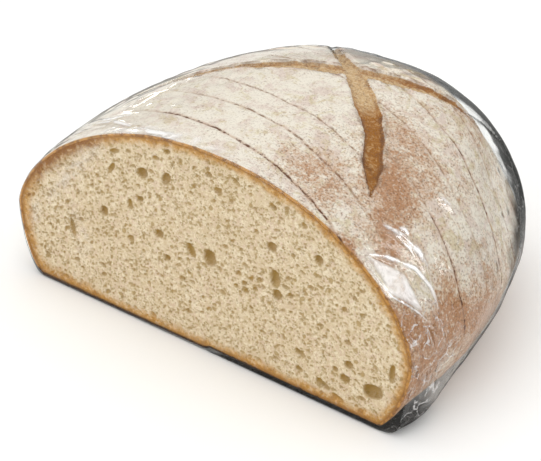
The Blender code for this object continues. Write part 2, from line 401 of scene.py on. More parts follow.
class Finish:
    """A procedural material, with short ways to add its nodes."""

    def __init__(self, name):
        self.material = bpy.data.materials.new(name)
        self.material.use_nodes = True
        self.tree = self.material.node_tree
        self.tree.nodes.clear()
        self.output = self.tree.nodes.new("ShaderNodeOutputMaterial")
        self.place = self.tree.nodes.new("ShaderNodeTexCoord").outputs["Object"]

    def node(self, kind, settings=None, **inputs):
        made = self.tree.nodes.new(kind)
        for key, value in (settings or {}).items():
            setattr(made, key, value)
        for key, value in inputs.items():
            self.put(made.inputs[key.replace("_", " ")], value)
        return made

    def put(self, socket, value):
        if isinstance(value, bpy.types.NodeSocket):
            self.tree.links.new(value, socket)
        elif value is not None:
            socket.default_value = value

    def math(self, operation, a, b=None, c=None, clamp=False):
        made = self.node("ShaderNodeMath", {"operation": operation, "use_clamp": clamp})
        for socket, value in zip(made.inputs, (a, b, c)):
            self.put(socket, value)
        return made.outputs[0]

    def unsettled(self, value, noise, swing):
        """The value moved up and down by a noise, by up to half the swing each way."""
        return self.math("ADD", value, self.math("MULTIPLY_ADD", noise, swing, -swing / 2))

    def vector(self, operation, *values):
        made = self.node("ShaderNodeVectorMath", {"operation": operation})
        for socket, value in zip(made.inputs, values):
            self.put(socket, value)
        return made.outputs["Value" if operation == "DOT_PRODUCT" else "Vector"]

    def mix(self, share, a, b):
        """Colour a, or b where the share is 1."""
        made = self.node("ShaderNodeMix", {"data_type": "RGBA"})
        self.put(made.inputs["Factor"], share)
        for socket, value in ((made.inputs[6], a), (made.inputs[7], b)):
            self.put(socket, value if isinstance(value, bpy.types.NodeSocket) else (*value[:3], 1))
        return made.outputs[2]

    def layers(self, share, under, over):
        """Shader under, or over where the share is 1."""
        made = self.node("ShaderNodeMixShader")
        for socket, value in zip(made.inputs, (share, under, over)):
            self.put(socket, value)
        return made.outputs[0]

    def field(self, name):
        """Values that the mesh keeps for each of its points."""
        return self.node("ShaderNodeAttribute", {"attribute_name": name}).outputs["Fac"]

    def noise(self, size, detail=2.0, rough=0.5, warp=0.0):
        """Noise whose features are about this size in metres."""
        made = self.node("ShaderNodeTexNoise", Vector=self.place, Scale=1 / size, Detail=detail)
        self.put(made.inputs["Roughness"], rough)
        self.put(made.inputs["Distortion"], warp)
        return made.outputs["Fac"]

    def shake(self, scale):
        """Noise that moves places in all three directions, with this many features to a metre."""
        return self.node("ShaderNodeTexNoise", Vector=self.place, Scale=scale, Detail=2.0).outputs["Color"]

    def pits(self, spacing, largest, rarity):
        """Round pits about this far apart; largest is their radius as a share of the spacing."""
        bent = self.vector("MULTIPLY_ADD", self.shake(0.7 / spacing), (spacing, spacing, spacing), self.place)
        cells = self.node("ShaderNodeTexVoronoi", Vector=bent, Scale=1 / spacing)
        size = self.ramp(cells.outputs["Color"], rarity, 0.9, 0.0, largest)
        edge = self.math("DIVIDE", cells.outputs["Distance"], self.math("MAXIMUM", size, 0.02))
        return self.math("MULTIPLY", self.ramp(edge, 0.75, 1.1, 1.0, 0.0), self.ramp(size, 0.05, 0.12))

    def ramp(self, value, low, high, to_low=0.0, to_high=1.0):
        made = self.node("ShaderNodeMapRange", {"interpolation_type": "SMOOTHSTEP"}, Value=value)
        for name, number in zip(("From Min", "From Max", "To Min", "To Max"), (low, high, to_low, to_high)):
            self.put(made.inputs[name], number)
        return made.outputs["Result"]

    def bump(self, height, distance, strength=1.0, normal=None):
        made = self.node("ShaderNodeBump", Height=height, Distance=distance, Strength=strength, Normal=normal)
        return made.outputs["Normal"]

    def dull(self, tone, roughness, specular, normal=None):
        """Ends in a dry, dull surface."""
        shader = self.node("ShaderNodeBsdfPrincipled", Base_Color=tone, Roughness=roughness, Normal=normal)
        self.put(shader.inputs["Specular IOR Level"], specular)
        return self.done(shader.outputs[0])

    def done(self, shader):
        self.tree.links.new(shader, self.output.inputs["Surface"])
        return self.material


def floured(f, look, thin, broad, grit):
    """Flour of three tones that wears through to the bare crust as thin rises, with baked specks."""
    rosy = f.ramp(f.noise(0.0075, 4, 0.65, warp=0.8), 0.46, 0.62, 0.0, 0.75)
    rosy = f.math("MULTIPLY", rosy, f.ramp(thin, -0.90, -0.20, 0.25, 1.0))
    ochre = f.ramp(f.noise(0.0062, 3, 0.6, warp=1.2), 0.52, 0.66, 0.0, 0.75)
    ochre = f.math("MULTIPLY", ochre, f.ramp(thin, -0.70, -0.10))
    flour = f.mix(ochre, f.mix(rosy, look.flour, look.rosy_flour), look.ochre_flour)
    surface = f.mix(f.ramp(thin, -0.20, 0.40), flour, look.thin_flour)
    surface = f.mix(f.ramp(thin, 0.10, 0.75), surface, look.bare)
    specks = f.math("MULTIPLY", f.ramp(grit, 0.50, 0.66, 0.0, 0.68), f.ramp(thin, -0.60, 0.30, 0.28, 1.0))
    surface = f.mix(specks, surface, look.baked)
    flecks = f.ramp(f.noise(0.0010, 2, 0.6), 0.53, 0.68, 0.0, 0.60)
    flecks = f.math("MULTIPLY", flecks, f.ramp(broad, 0.35, 0.60, 0.4, 1.0))
    return f.mix(flecks, surface, flour)


def with_slice_cuts(f, look, surface):
    """Adds the slice cuts, thin broken lines that are darker in dashes; also gives where they lie."""
    wander = 0.07
    along = f.math("MULTIPLY_ADD", f.noise(0.0045, 3, 0.6), wander, f.field("cut_count"))
    away = f.math("PINGPONG", f.math("SUBTRACT", along, wander / 2), 0.5)
    dash = f.ramp(f.noise(0.0030, 3, 0.7), 0.44, 0.60)
    faint = f.ramp(f.noise(0.012, 2, 0.6), 0.42, 0.62, 0.04, 0.5)
    width = f.math("MULTIPLY_ADD", dash, 0.026, 0.017)
    strength = f.field("cut_strength")
    line = f.ramp(f.math("DIVIDE", away, width), 0.35, 1.0, 1.0, 0.0)
    line = f.math("MULTIPLY", line, f.math("MAXIMUM", dash, faint))
    line = f.math("MULTIPLY", line, strength)
    halo = f.math("MULTIPLY", f.ramp(away, 0.01, 0.07, 0.45, 0.0), strength)
    surface = f.mix(halo, surface, look.bare)
    return f.mix(line, surface, f.mix(strength, look.score_brown, look.cut)), line


def scored(f, look):
    """Tone of the scored cross, pale near its middle and dark where it has toasted."""
    grain = f.noise(0.0010, 4, 0.7)
    streak = f.noise(0.0028, 4, 0.75, warp=1.5)
    toast = f.math("SUBTRACT", f.field("score_toast"), 0.45)
    toast = f.math("MULTIPLY_ADD", f.noise(0.004, 3, 0.6), 0.9, toast)
    tone = f.mix(f.ramp(toast, 0.0, 1.0), look.score_pale, look.score_brown)
    tone = f.mix(f.ramp(grain, 0.46, 0.66, 0.0, 0.55), tone, look.score_brown)
    tone = f.mix(f.ramp(streak, 0.50, 0.60, 0.0, 0.45), tone, look.score_edge)
    tone = f.mix(f.ramp(streak, 0.47, 0.37, 0.0, 0.50), tone, look.score_pale)
    tone = f.mix(f.ramp(toast, 0.95, 1.45, 0.0, 0.85), tone, look.score_edge)
    dusting = f.math("MULTIPLY", f.ramp(grain, 0.48, 0.30, 0.0, 0.3), f.ramp(toast, 0.9, 0.3))
    return f.mix(dusting, tone, look.flour)


def crust_finish(look):
    f = Finish("floured_crust")
    broad = f.noise(0.012, 3, 0.55, warp=0.5)
    patch = f.noise(0.0034, 4, 0.6, warp=0.5)
    speck = f.noise(0.0011, 3, 0.65)
    grit = f.noise(0.0008, 2, 0.6)
    thin = f.field("bareness")
    for noise, swing in ((broad, 1.1), (patch, 1.3), (speck, 1.5)):
        thin = f.unsettled(thin, noise, swing)
    surface, cuts = with_slice_cuts(f, look, floured(f, look, thin, broad, grit))
    score = f.ramp(f.unsettled(f.field("score"), speck, 0.3), 0.30, 0.55)
    surface = f.mix(score, surface, scored(f, look))
    score_rim = f.ramp(f.noise(0.005, 3, 0.6), 0.40, 0.62, 0.05, 0.75)
    surface = f.mix(f.math("MULTIPLY", f.field("score_rim"), score_rim), surface, look.baked)
    rim = f.ramp(f.unsettled(f.field("rim"), patch, 0.8), 0.25, 0.75, 0.0, 0.9)
    surface = f.mix(rim, surface, f.mix(f.ramp(patch, 0.42, 0.62, 0.0, 0.8), look.rim, look.score_edge))
    under = f.ramp(f.unsettled(f.field("under"), patch, 0.6), 0.3, 0.7)
    surface = f.mix(under, surface, look.underside)
    height = f.math("MULTIPLY_ADD", speck, 0.5, f.math("MULTIPLY", grit, 0.3))
    normal = f.bump(cuts, -0.0008, 0.8, f.bump(height, 0.0007, 0.6))
    return f.dull(surface, 0.9, 0.2, normal)


def crumb_tone(f, look, fine):
    """Warm tones of the crumb, in fine walls, strands and broad patches."""
    strand = f.noise(0.0030, 3, 0.6, warp=0.8)
    rosy = f.noise(0.0024, 3, 0.7, warp=1.0)
    broad = f.noise(0.014, 3, 0.5)
    body = f.mix(f.ramp(fine, 0.42, 0.60), look.crumb, look.wall)
    body = f.mix(f.ramp(strand, 0.50, 0.66, 0.0, 0.50), body, look.crumb)
    body = f.mix(f.ramp(rosy, 0.50, 0.64, 0.0, 0.55), body, look.rosy)
    return f.mix(f.ramp(broad, 0.40, 0.70, 0.0, 0.30), body, look.crumb)


def with_rind(f, look, body):
    """Adds the crust's band round the cut end, ragged towards the crumb and dark at its outside."""
    place = f.field("rind_place")
    ragged = f.math("MULTIPLY_ADD", f.noise(0.007, 5, 0.7), 2.0, -1.0)
    mottled = f.noise(0.0022, 4, 0.7)
    toasted = f.math("MULTIPLY", f.field("rind_toast"), 0.6)
    toasted = f.math("ADD", f.ramp(mottled, 0.40, 0.66, 0.0, 0.6), toasted, clamp=True)
    rind = f.mix(toasted, look.rind, look.rind_edge)
    rind = f.mix(f.ramp(mottled, 0.48, 0.34, 0.0, 0.5), rind, look.wall)
    golden = f.math("ADD", place, f.math("MULTIPLY", ragged, 0.7))
    body = f.mix(f.ramp(golden, 0.30, 1.20, 0.92, 0.0), body, rind)
    rim = f.ramp(f.math("MULTIPLY_ADD", mottled, 0.45, place), 0.26, 0.70, 0.85, 0.0)
    body = f.mix(rim, body, look.rind_edge)
    foot = f.ramp(f.math("MULTIPLY_ADD", ragged, 0.5, f.field("foot")), 0.35, 0.8)
    return f.mix(foot, body, look.foot)


def crumb_finish(look):
    f = Finish("fine_crumb")
    fine = f.noise(0.0011, 3, 0.7, warp=0.8)
    small = f.math("MULTIPLY", f.pits(0.00125, 0.44, 0.20), 0.52)
    middling = f.math("MULTIPLY", f.pits(0.0025, 0.42, 0.42), 0.66)
    pits_and_shade = f.math("MAXIMUM", small, middling)
    # Painted shade: the pits and holes are coloured darker, as the shade in them would make them
    body = f.mix(pits_and_shade, crumb_tone(f, look, fine), look.pore_shade)
    body = f.mix(f.field("pore_shade"), body, look.pore_shade)
    height = f.math("SUBTRACT", f.math("MULTIPLY", fine, 0.5), pits_and_shade)
    return f.dull(with_rind(f, look, body), 0.9, 0.15, f.bump(height, 0.0005, 0.7))


def pressed_facets(f):
    """Height of the film's pressed facets, each leaning its own way, and how near their seams lie."""
    per_metre = 150.0
    bend = 0.009
    bent = f.vector("MULTIPLY_ADD", f.shake(110.0), (bend, bend, bend), f.place)
    cells = f.node("ShaderNodeTexVoronoi", Vector=bent, Scale=per_metre)
    from_middle = f.vector("SUBTRACT", bent, cells.outputs["Position"])
    lean = f.vector("SUBTRACT", cells.outputs["Color"], (0.5, 0.5, 0.5))
    height = f.vector("DOT_PRODUCT", from_middle, lean)
    seams = f.node("ShaderNodeTexVoronoi", {"feature": "DISTANCE_TO_EDGE"}, Vector=bent, Scale=per_metre)
    return height, seams.outputs["Distance"]


def painted_glint_share(f, seam_distance):
    """Share of painted highlight: white painted where the film is creased sharply or seamed, and painted
    glare on loose folds.
    """
    crease_glint = f.ramp(f.field("crease"), 0.25, 0.75, 0.0, 0.95)
    crease_glint = f.math("MULTIPLY", crease_glint, f.ramp(f.noise(0.0045, 3, 0.6), 0.34, 0.56, 0.10, 1.0))
    seam_glint = f.ramp(seam_distance, 0.010, 0.050, 0.6, 0.0)
    seam_glint = f.math("MULTIPLY", seam_glint, f.ramp(f.noise(0.0045, 3, 0.7), 0.46, 0.58))
    seam_glint = f.math("MULTIPLY", seam_glint, f.ramp(f.field("rumple"), 0.15, 0.60))
    painted_glare = f.ramp(f.noise(0.006, 4, 0.7, warp=1.0), 0.30, 0.60, 0.25, 0.85)
    painted_glare = f.math("MULTIPLY", f.field("painted_glare"), painted_glare)
    return f.math("MAXIMUM", f.math("MAXIMUM", crease_glint, seam_glint), painted_glare)


def painted_film_shade(f):
    """Share of painted shade: where layers lie bunched and at the film's own edge, at a low angle, and in
    tucked folds from all sides.
    """
    facing = f.node("ShaderNodeLayerWeight", Blend=0.5).outputs["Facing"]
    bunched_shade = f.field("bunched_shade")
    low_angle = f.math("ADD", facing, f.math("MULTIPLY_ADD", bunched_shade, 0.30, -0.30))
    gathered = f.math("MULTIPLY", bunched_shade, f.ramp(low_angle, 0.58, 0.72, 0.0, 0.94))
    # Painted shade along the film's edge wherever it is seen at a low angle
    edge = f.ramp(facing, 0.82, 0.93, 0.0, 0.75)
    patchy = f.ramp(f.noise(0.006, 3, 0.6, warp=1.0), 0.3, 0.6, 0.85, 1.0)
    tucked_shade = f.math("MULTIPLY", f.field("tucked_shade"), patchy)
    return f.math("MAXIMUM", f.math("MAXIMUM", gathered, edge), tucked_shade)


def glossy_film(f, normal, dim):
    """Share of gloss, which grows towards low angles, on creases and where the film is rumpled."""
    facing = f.node("ShaderNodeLayerWeight", Blend=0.5, Normal=normal).outputs["Facing"]
    share = f.math("MULTIPLY_ADD", f.math("POWER", facing, 4.5), 0.60, 0.028)
    share = f.math("MULTIPLY", share, f.math("SUBTRACT", 1.0, f.math("MULTIPLY", dim, 0.98)))
    share = f.math("MULTIPLY_ADD", f.field("crease"), 0.12, share)
    return f.math("MULTIPLY_ADD", f.field("rumple"), 0.02, share, clamp=True)


def film_finish(look):
    f = Finish("clear_film")
    height, seam_distance = pressed_facets(f)
    normal = f.bump(f.math("MULTIPLY", height, f.field("rumple")), 1.0)
    normal = f.bump(f.noise(0.012, 2, 0.5, warp=0.6), 0.0005, 0.25, normal)
    clear = f.node("ShaderNodeBsdfTransparent", Color=(*look.tint, 1)).outputs[0]
    # Painted shade: a dark diffuse mixed into the film where it is bunched, tucked or seen edge on
    painted_shade = f.node("ShaderNodeBsdfDiffuse", Color=(*look.shade, 1)).outputs[0]
    # Painted highlight: a white diffuse that stands in for light glinting off the film's creases, seams and
    # folds
    painted_glint = f.node("ShaderNodeBsdfDiffuse", Color=(*look.glint, 1)).outputs[0]
    gloss = f.node("ShaderNodeBsdfGlossy", Color=(1, 1, 1, 1), Roughness=0.07, Normal=normal).outputs[0]
    dim = painted_film_shade(f)
    skin = f.layers(painted_glint_share(f, seam_distance), f.layers(dim, clear, painted_shade), painted_glint)
    return f.done(f.layers(glossy_film(f, normal, dim), skin, gloss))


def floor_finish(look):
    f = Finish("pale_floor")
    tone = f.mix(f.ramp(f.noise(0.4), 0.3, 0.7, 0.0, 0.03), look.floor, (0.8, 0.8, 0.8))
    return f.dull(tone, 0.8, 0.2)


# Crust

# Where the film stands clear of the bread, in mm
REAR_GAP = 5.6
FOOT_GAP = 3.2

# Columns of the bread's grid over its dome, and height of the middle of its cut end
BREAD_DOME_COLUMNS = 331
BREAD_MIDDLE = 0.036

# Thickness of a slice between two cuts, and of the outer ones
SLICE_THICKNESS = 0.0152
OUTER_SLICE = 0.016

# Rings that the crust curls in by behind the cut end: how far in and how far back, in mm
CURL = ((2.2, 0.9), (1.0, 0.12), (0.35, 0.0))


def bread_inset(clearance):
    """The bread lies close under the film, but for the rear right and the foot of its right end."""

    def inset(heading, latitude):
        degrees, rise = np.degrees(heading), np.degrees(latitude)
        rear = step(28, 56, degrees) * (1 - step(80, 120, degrees))
        rear = rear * (0.30 + 0.70 * step(-6, 14, rise)) * (1 - step(22, 44, rise))
        foot = hump(degrees, 14, 15) * step(-4, -24, rise)
        return clearance + (REAR_GAP * rear + FOOT_GAP * foot) * MM

    return inset


def bread_grid(clearance):
    """The bread's own surface, which starts a hair behind the film of the cut end."""
    ball = ball_grid(rings=190, dome_columns=BREAD_DOME_COLUMNS, skirt_columns=26, base_columns=60)
    points = loaf_points(ball, BREAD_TUCKS, bread_inset(clearance))
    points[..., 1] += (clearance + 0.2 * MM) * (1 - points[..., 1] / DEPTH)
    return points


def score_marks(points):
    """For each point: how deep in the scored cross it lies, how near its rim, and how toasted."""
    plan = points[..., :2]
    on_top = step(45, 55, points[..., 2] / MM)
    ragged = 0.06 * lumps(points, 9 * MM, 5)
    off, share = beside_line(plan, LEVEL_SCORE)
    half = 4.5 * MM * np.clip(share / 0.4, 0.02, 1) ** 0.6 * np.clip((1 - share) / 0.25, 0.02, 1) ** 0.6
    across = off / half
    level = (1 - step(0.75, 1.02, np.abs(across) + ragged)) * on_top
    toast = 0.02 + 0.55 * hump(across, 0.6, 0.25) + 0.5 * hump(across, -0.85, 0.2)
    toast += 0.5 * step(0.62, 0.80, share) * step(0, 0.4, across)
    rim = hump(np.abs(across), 1.05, 0.2) * on_top * step(0, 0.1, share) * step(0, 0.1, 1 - share)
    off, share = beside_line(plan, LONG_SCORE)
    half = (3.6 + 1.5 * step(0.30, 0.50, share) - 1.1 * step(0.52, 0.68, share)) * MM
    half = half * np.clip(share / 0.35, 0.02, 1) ** 0.6 * np.clip((0.965 - share) / 0.16, 0.02, 1) ** 0.6
    across = off / half
    long = (1 - step(0.80, 1.02, np.abs(across) + ragged)) * on_top
    brown = 0.02 + 0.98 * step(0.47, 0.60, share) + 0.5 * step(0.45, 1.0, np.abs(across))
    toast = np.where(long > 0.5 * level, brown, toast)
    long_rim = hump(np.abs(across), 1.08, 0.2) * on_top * step(0, 0.1, share) * step(0.45, 0.7, share)
    rim = np.clip(rim * (1 - long) + long_rim * (1 - level), 0, 1)
    return np.maximum(level, long), rim, toast


def cut_count(points):
    """Counts the slice cuts from front to back, with a whole number on each cut."""
    x, y = points[..., 0], points[..., 1]
    start = y + CUT_TURN * x + CUT_BOW * x**2
    places = (CUT_STARTS[0] - OUTER_SLICE, *CUT_STARTS, CUT_STARTS[-1] + OUTER_SLICE)
    count = np.interp(start, places, np.arange(len(places)))
    return np.clip(count, 0.55, len(CUT_STARTS) + 0.45)


def cut_strength(points, count):
    """How plainly each slice cut shows: the first ones at the front left most, the others faintly."""
    x = points[..., 0] / MM
    number = np.round(count)
    strength = np.interp(number, (1, 2, 3, 4, 5, 6, 8), (1.0, 0.7, 0.6, 0.35, 0.55, 0.5, 0.6))
    strength = strength * (0.2 + 0.8 * step(-52, -25, x))
    strength = np.where((number == 2) | (number == 3), strength * (1 - 0.75 * step(40, 62, x)), strength)
    fourth = strength * (0.2 + 0.8 * step(30, 50, x)) + 0.65 * step(64, 71, x)
    strength = np.where(number == 4, fourth, strength)
    strength = np.where(number == 5, strength * (1 - 0.4 * step(58, 66, x)), strength)
    return np.where(number == 6, strength + 0.45 * step(50, 58, x), strength)


# Places where flour is rubbed thin: middle and reach in mm, and how much
RUBBED = (
    (60, 2, 71, 3.5, 1.10), (60, 34, 73, 9, 0.50), (51, 47, 78, 10, 0.50), (52, 36, 78, 8, 0.50),
    (66, 16, 68, 8, 0.50), (62, 25, 72, 8, 0.48), (67, 36, 69, 7, 0.15), (64, 54, 71, 8, 0.25),
    (56, 60, 76, 7, 0.15), (80, 9, 56, 6, 0.50), (84, 3, 47, 5, 0.45), (70, 9, 65, 4, 0.55),
    (89, 28, 42, 12, 0.55), (91, 14, 36, 11, 0.85), (90, 8, 24, 10, 0.80), (92, 36, 34, 12, 0.45),
    (88, 4, 42, 7, 0.60), (83, 3, 50, 6, 0.40), (91, 51, 34, 12, 0.35), (91, 60, 24, 16, 0.55),
    (84, 71, 48, 10, 0.15), (83, 54, 52, 8, 0.15), (54, 99, 71, 12, 0.30), (41, 12, 80, 6, 0.35),
    (39, 20, 82, 8, 0.35), (28, 19, 84, 8, 0.40), (19, 18, 86, 7, 0.25), (47, 60, 81, 9, 0.40),
    (37, 64, 84, 6, 0.15), (70, 20, 64, 8, 0.30), (-75, 12, 50, 10, 0.15), (-20, 110, 78, 18, 0.25),
    (-60, 60, 60, 14, 0.20), (20, 130, 50, 20, 0.35),
)


def bare_places(points):
    """Where flour is thin: low on the sides, towards the right and in the rubbed places."""
    at = points / MM
    x, y, z = at[..., 0], at[..., 1], at[..., 2]
    bare = -0.42 + 0.34 * step(-10, 40, x) - 0.06 * step(58, 74, x)
    bare = bare + 0.42 * step(42, 6, z) + 0.25 * step(26, 4, z)
    bare = bare + (1 - step(0.3, 3.0, y)) * (0.20 + 0.60 * step(20, 70, x))
    bare = bare + 0.30 * step(70, 110, y) * step(55, 12, z)
    for *middle, reach, much in RUBBED:
        bare = bare + much * patch_share(points, middle, reach)
    return bare


def crust_relief(points):
    """Soft lumps of the crust, in metres."""
    return 0.35 * MM * lumps(points, 28 * MM, 1) + 0.10 * MM * lumps(points, 6 * MM, 2)


def crust_surface(look, points, score, score_rim, count, under):
    """The bread's surface with its lumps, the slice cuts and the scored cross."""
    away = np.abs(count - np.round(count)) * SLICE_THICKNESS
    groove = hump(away, 0, 0.8 * MM) * look.cut_depth * (1 - under)
    sunk = look.score_depth * score * (0.85 + 0.15 * lumps(points, 3 * MM, 3))
    rise = crust_relief(points) * step(0, 4, points[..., 1] / MM) * (1 - under)
    rise += 0.30 * MM * score_rim - sunk - groove
    shaped = points + grid_normals(points) * rise[..., None]
    shaped[..., 2] = np.minimum(shaped[..., 2], CAD_BOX[1][2] - 0.35 * MM)
    return shaped


def make_crust(look, film):
    points = bread_grid(film.clearance)
    score, score_rim, toast = score_marks(points)
    count = cut_count(points)
    under = 1 - step(0.4, 5.0, points[..., 2] / MM)
    shaped = crust_surface(look, points, score, score_rim, count, under)
    # the crust curls over the rim of the cut end, just behind the crumb
    inward = way_inward(shaped[0], BREAD_MIDDLE)
    curl = [shaped[0] + (inward * far + np.array([0, back, 0])) * MM for far, back in CURL]
    shaped[0, :, 1] += 0.25 * MM
    crust = close_form("bread_crust", np.concatenate([np.array(curl), shaped]))
    fields = {
        "score": score,
        "score_rim": score_rim,
        "score_toast": toast,
        "cut_count": count,
        "cut_strength": cut_strength(points, count),
        "bareness": bare_places(points),
        "under": under,
        "rim": 1 - step(0.7, 1.6, points[..., 1] / MM),
    }
    for name, values in fields.items():
        values = np.concatenate([np.repeat(values[:1], len(curl), 0), values])
        store(crust, name, np.append(values.ravel(), values[-1].mean()))
    finish_piece(crust, crust_finish(look))


# Crumb

# Holes that catch the eye: across, up, half width, half height in mm, and lean in degrees
LARGE_HOLES = (
    (-29.5, 65.3, 2.2, 1.8, 20), (-18.5, 67.0, 1.6, 2.4, -25), (-6.5, 41.3, 1.5, 2.6, 35),
    (2.1, 41.5, 2.3, 2.9, 10), (29.0, 57.4, 1.7, 1.7, 0), (30.9, 44.6, 1.7, 3.2, 8),
    (32.1, 38.2, 1.6, 1.9, 0), (37.7, 40.2, 0.9, 1.0, 0), (48.9, 60.2, 1.5, 1.6, 10),
    (74.9, 15.2, 3.6, 2.6, 15), (82.0, 26.4, 1.1, 3.3, -4), (63.0, 15.4, 1.8, 1.5, 0),
    (64.2, 22.1, 1.6, 1.4, 0), (58.6, 17.7, 1.1, 1.0, 0), (53.9, 8.9, 2.8, 1.2, -24),
    (60.7, 5.8, 2.6, 0.9, -20), (43.3, 17.8, 2.1, 1.1, -20), (43.3, 10.6, 1.4, 0.9, -10),
    (-47.4, 41.8, 1.6, 1.9, 10), (-30.4, 53.8, 1.4, 1.0, 20), (-35.0, 49.8, 1.1, 1.9, 10),
    (-21.3, 42.2, 1.6, 1.5, 0), (-34.5, 35.1, 1.2, 1.0, 0), (-17.5, 33.3, 1.2, 1.2, 0),
    (-62.7, 28.5, 1.2, 3.4, 12), (-42.6, 69.6, 1.9, 0.8, 20), (-44.0, 61.8, 0.9, 2.8, -30),
    (-23.2, 74.0, 1.3, 0.7, 0), (-18.3, 78.4, 1.2, 0.8, 20), (0.6, 76.1, 1.3, 0.9, -20),
    (12.4, 77.8, 1.9, 0.8, -30), (4.8, 71.0, 1.6, 1.1, -20), (28.6, 73.8, 1.4, 1.0, -30),
    (41.9, 71.4, 1.2, 0.9, -30), (17.6, 37.1, 1.0, 0.9, 0), (15.0, 40.5, 0.9, 0.8, 0),
    (20.5, 40.0, 0.9, 0.8, 0), (18.8, 34.0, 1.0, 0.8, 10), (22.6, 36.6, 0.8, 0.9, 0),
    (14.2, 34.6, 0.8, 0.7, 0),
)

# Seeded holes: how many, least and greatest size in mm, and how dark their painted shade is
SEEDED_HOLES = ((230, 0.65, 1.15, 0.85), (1000, 0.45, 0.72, 0.75))
FINE_PORES = (0.30, 0.46, 0.60)


def face_outline(points):
    """Upper and lower edge of the cut end: arrays of across and height."""
    ring = points[0][:, [0, 2]]
    dome = ring[:BREAD_DOME_COLUMNS][::-1]
    low = np.concatenate([ring[BREAD_DOME_COLUMNS - 1 :], ring[:1]])
    return dome, low


def lens_grid(points, inset, columns, rows):
    """Grid over the cut end, whose rows squeeze together towards its two tips, and the cut end's outline."""
    middle = np.array([0, BREAD_MIDDLE])

    def drawn_in(line):
        way = middle - line
        return line + way / np.linalg.norm(way, axis=1, keepdims=True) * inset

    upper, lower = (drawn_in(line) for line in face_outline(points))
    left, right = upper[0, 0], upper[-1, 0]
    t = np.linspace(-1, 1, columns)
    t = 0.35 * t + 0.65 * np.sin(t * math.pi / 2)
    t[0], t[-1] = -0.9995, 0.9995
    across = (left + right) / 2 + (right - left) / 2 * t
    top = np.interp(across, upper[:, 0], upper[:, 1])
    bottom = np.interp(across, lower[:, 0], lower[:, 1])
    height = bottom + (top - bottom) * np.linspace(0, 1, rows)[:, None]
    return np.repeat(across[None], rows, 0), height, np.concatenate([upper, lower[::-1]])


def dig(across, height, holes):
    """Depth of the holes at each grid point, in metres, and the painted shade that it gets for lying inside a
    hole.
    """
    depth = np.zeros_like(across)
    hole_shade = np.zeros_like(across)
    columns = across[0]
    for hx, hz, half_w, half_h, lean, deep, squareness, tone in holes:
        reach = max(half_w, half_h) * 1.3
        first, last = np.searchsorted(columns, (hx - reach, hx + reach))
        if last <= first:
            continue
        h = height[:, first:last]
        low = np.searchsorted(h[:, 0], hz - reach)
        high = np.searchsorted(h[:, 0], hz + reach)
        low = max(min(low, np.searchsorted(h[:, -1], hz - reach)), 0)
        high = max(high, np.searchsorted(h[:, -1], hz + reach))
        if high <= low:
            continue
        window = (slice(low, high), slice(first, last))
        dx, dz = across[window] - hx, height[window] - hz
        u = (dx * math.cos(lean) + dz * math.sin(lean)) / half_w
        v = (dz * math.cos(lean) - dx * math.sin(lean)) / half_h
        away = (np.abs(u) ** squareness + np.abs(v) ** squareness) ** (1 / squareness)
        bowl = np.clip(1 - away**2, 0, 1)
        depth[window] = np.maximum(depth[window], deep * bowl**0.5)
        # the upper left wall of a hole lies in shade, its lower right one catches the light
        shade = np.clip(0.86 - 0.18 * (u - v), 0.60, 1)
        hole_shade[window] = np.maximum(hole_shade[window], tone * shade * np.clip((1.12 - away) / 0.16, 0, 1))
    return depth, hole_shade


def crumb_holes(look, edge):
    """The eye-catching holes, then seeded ones of all sizes down to the finest."""
    pick = np.random.default_rng(11)
    holes = [
        (x * MM, z * MM, 1.12 * w * MM, 1.12 * h * MM, math.radians(lean), 1.2 * min(w, h) * MM, 2.3, 1.0)
        for x, z, w, h, lean in LARGE_HOLES
    ]
    low, high = edge.min(0), edge.max(0)
    for number, small, large, tone in (*SEEDED_HOLES, (look.fine_pores, *FINE_PORES)):
        for x, z, size, lean, long in zip(
            pick.uniform(low[0], high[0], number),
            pick.uniform(low[1], high[1], number),
            pick.uniform(0, 1, number) ** 2.2 * (large - small) + small,
            pick.normal(0, 0.6, number),
            pick.uniform(1.0, 1.9, number),
        ):
            lean -= math.atan2(x, 0.14 + z)
            half_w, half_h = size * long**0.5 * MM, size / long**0.5 * MM
            holes.append((x, z, half_w, half_h, lean, 0.9 * size * MM, 2.0, tone))
    return holes


def distance_to(edge, flat):
    """How far points of the cut end lie from its outline."""
    far = np.full(flat.shape[:-1], 1.0)
    for a, b in zip(edge, np.roll(edge, -1, 0)):
        run = b - a
        t = np.clip(((flat - a) @ run) / max(run @ run, 1e-12), 0, 1)
        far = np.minimum(far, np.linalg.norm(flat - a - t[..., None] * run, axis=-1))
    return far


def make_crumb(look, film):
    across, height, edge = lens_grid(bread_grid(film.clearance), inset=0.25 * MM, columns=430, rows=200)
    far = distance_to(edge[::4], np.stack([across, height], -1))
    depth, hole_shade = dig(across, height, crumb_holes(look, edge))
    inner = step(0.8, 3.2, far / MM)
    depth *= 0.25 + 0.75 * inner
    hole_shade *= 0.35 + 0.65 * inner
    place = np.stack([across, np.zeros_like(across), height], -1)
    uneven = 0.10 * MM * lumps(place, 2.2 * MM, 21, 30) + 0.12 * MM * lumps(place, 9 * MM, 22)
    back = film.clearance + 0.30 * MM + depth + uneven * inner
    points = np.stack([across, back, height], -1).reshape(-1, 3)
    crumb = make_mesh("bread_crumb", points, sheet_faces(*across.shape, False))
    x, z = across / MM, height / MM
    breadth = np.maximum(0.80 + 0.45 * step(-35, -75, x), 0.90 * step(30, 10, z))
    # Share of painted shade in the holes, darker on their upper left walls
    store(crumb, "pore_shade", hole_shade)
    store(crumb, "rind_place", far / (look.rind_width * breadth))
    store(crumb, "rind_toast", step(-38, -62, x) * step(34, 50, z))
    store(crumb, "foot", 1 - step(0.8, 2.6, z))
    finish_piece(crumb, crumb_finish(look))


# Film

# How far the film lies inside the solid, its least gap to the bread, and height of the middle of its cut end
FILM_GAP = 0.02 * MM
LEAST_CLEARANCE = 0.14 * MM
FILM_MIDDLE = 0.038

# Rings by which the film rounds the rim of the cut end: how far in from its edge and how far back, in mm
FILM_RIM = ((1.3, 0.02), (0.55, 0.14), (0.15, 0.48))

